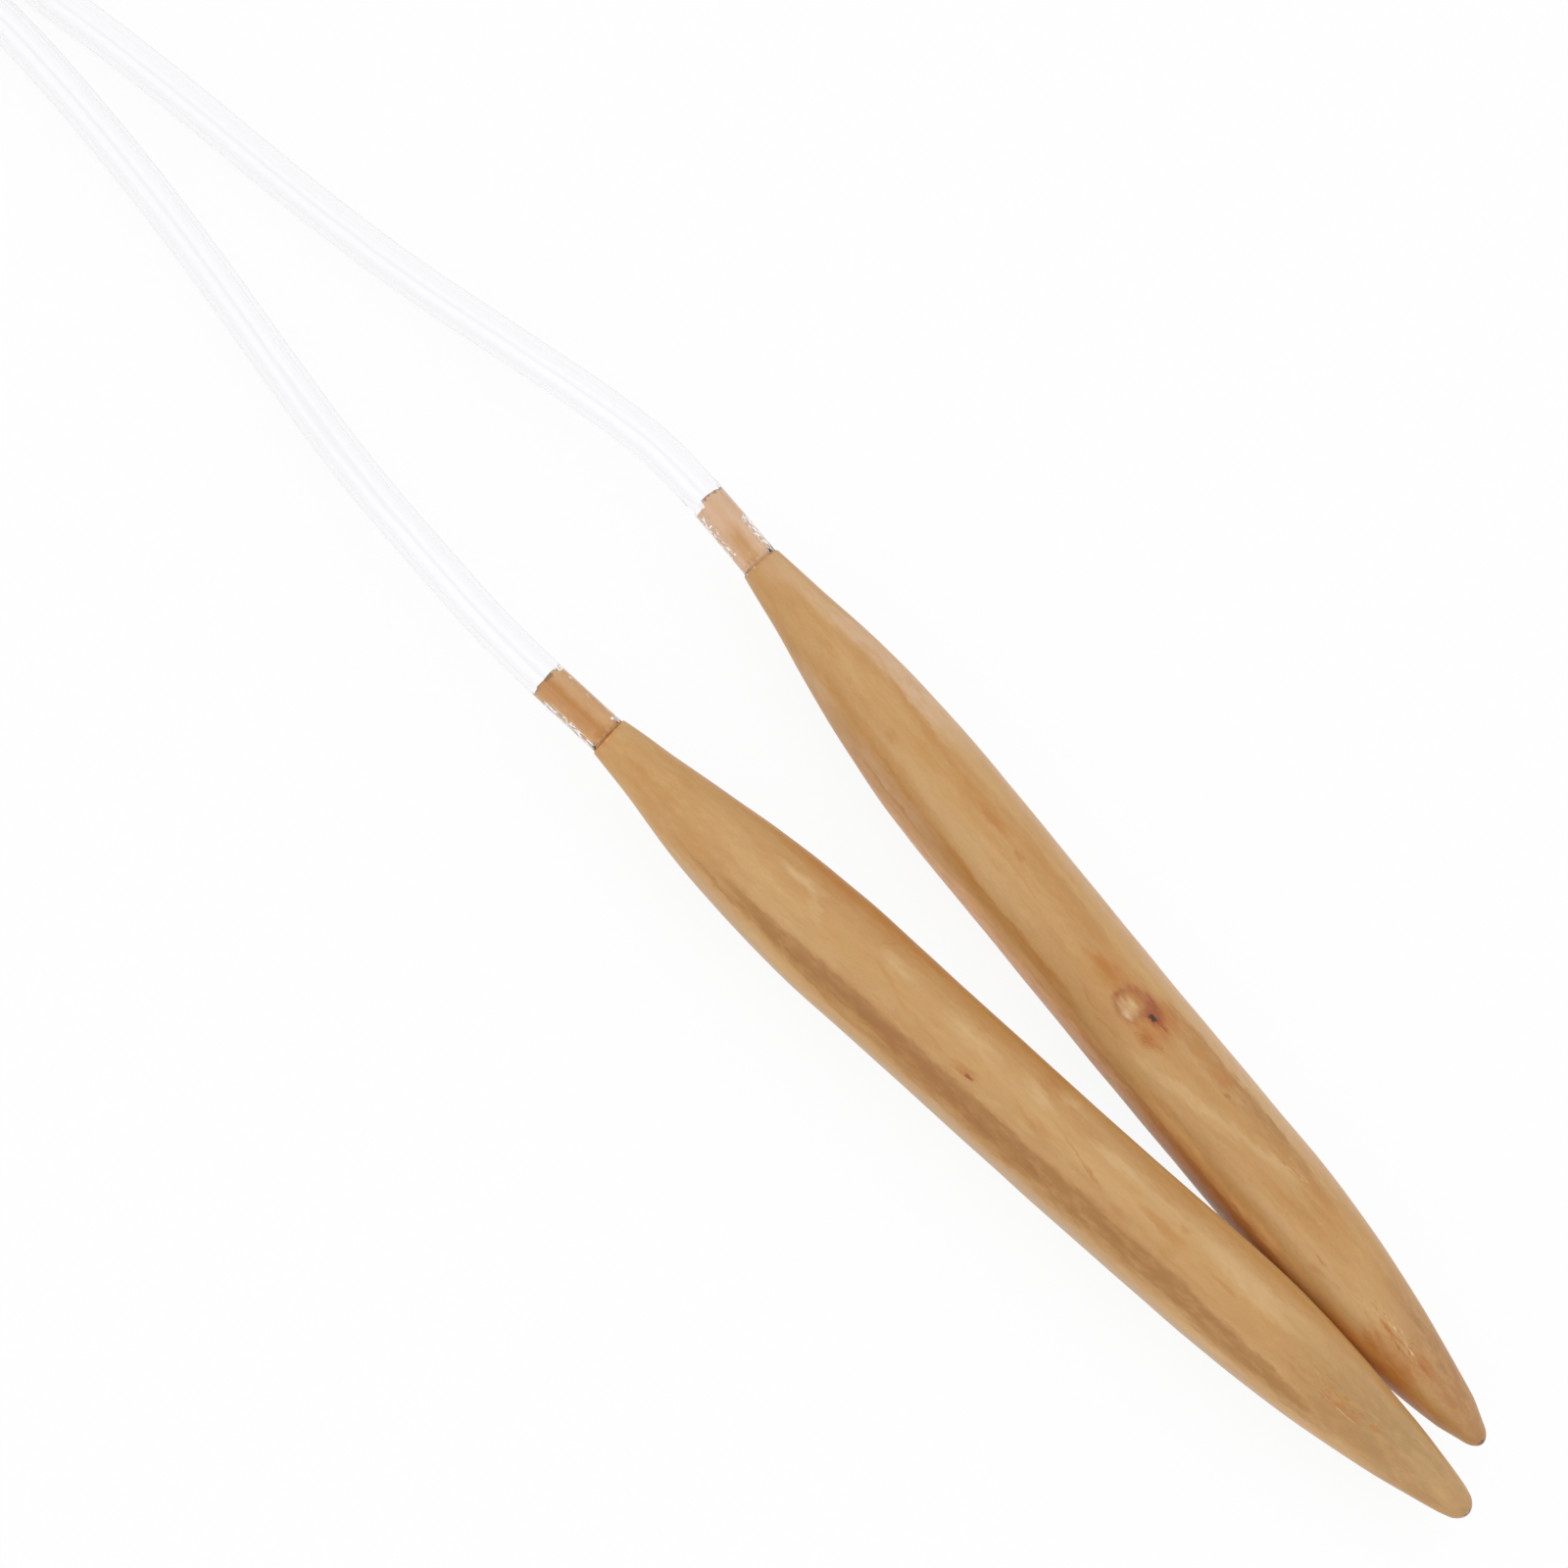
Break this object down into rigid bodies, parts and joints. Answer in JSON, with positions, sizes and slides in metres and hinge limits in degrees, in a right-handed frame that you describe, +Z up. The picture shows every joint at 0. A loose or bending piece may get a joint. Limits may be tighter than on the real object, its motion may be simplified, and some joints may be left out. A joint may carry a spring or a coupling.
{
  "type": "circular knitting needle",
  "caption": "Jumbo circular knitting needle: turned wooden points with tapered necks, joined at their back ends by a clear hollow flexible tube.",
  "frame": {"origin": "on the table that the needles lie on, below the middle of the two needles' common box, without the tube", "axes": "+X along the needles towards their points, +Z up from the table, the front needle at -Y"},
  "size_m": [0.4726, 0.0831, 0.02],
  "materials": {
    "oiled_wood": "turned, sanded and oiled pale wood with amber streaks",
    "clear_tube": "clear soft hollow tube",
    "clear_cement": "clear set cement with trapped air"
  },
  "bodies": {
    "rear_needle": {"rear_needle": "oiled_wood", "rear_cement": "clear_cement", "rear_tube_end": "clear_tube"},
    "rear_strand": {"rear_tube_run": "clear_tube"},
    "loop": {"tube_loop": "clear_tube"},
    "front_strand": {"front_tube_run": "clear_tube"},
    "front_needle": {"front_needle": "oiled_wood", "front_cement": "clear_cement", "front_tube_end": "clear_tube"}
  },
  "joints": [
    {"name": "rear_bend", "type": "hinge", "parent": "rear_needle", "child": "rear_strand", "pos_m": [-0.1445, 0.0207, 0.0072], "axis": [0, 0, 1], "range_deg": [-45, 0], "stiffness_Nm_per_rad": 0.012, "deforming": ["rear_tube_end", "rear_tube_run"]},
    {"name": "rear_swing", "type": "hinge", "parent": "rear_strand", "child": "loop", "pos_m": [-0.3221, -0.01005, 0.0035], "axis": [0, 0, 1], "range_deg": [-60, 0], "stiffness_Nm_per_rad": 0.008, "deforming": ["rear_tube_run", "tube_loop"]},
    {"name": "front_swing", "type": "hinge", "parent": "loop", "child": "front_strand", "pos_m": [-0.3221, -0.01005, 0.0035], "axis": [0, 0, 1], "range_deg": [-60, 0], "stiffness_Nm_per_rad": 0.008, "deforming": ["tube_loop", "front_tube_run"]},
    {"name": "front_lift", "type": "hinge", "parent": "front_strand", "child": "front_needle", "pos_m": [-0.142, -0.02215, 0.0073], "axis": [0.0842, -0.9964, 0], "range_deg": [0, 45], "stiffness_Nm_per_rad": 0.012, "deforming": ["front_tube_run", "front_tube_end"]}
  ]
}
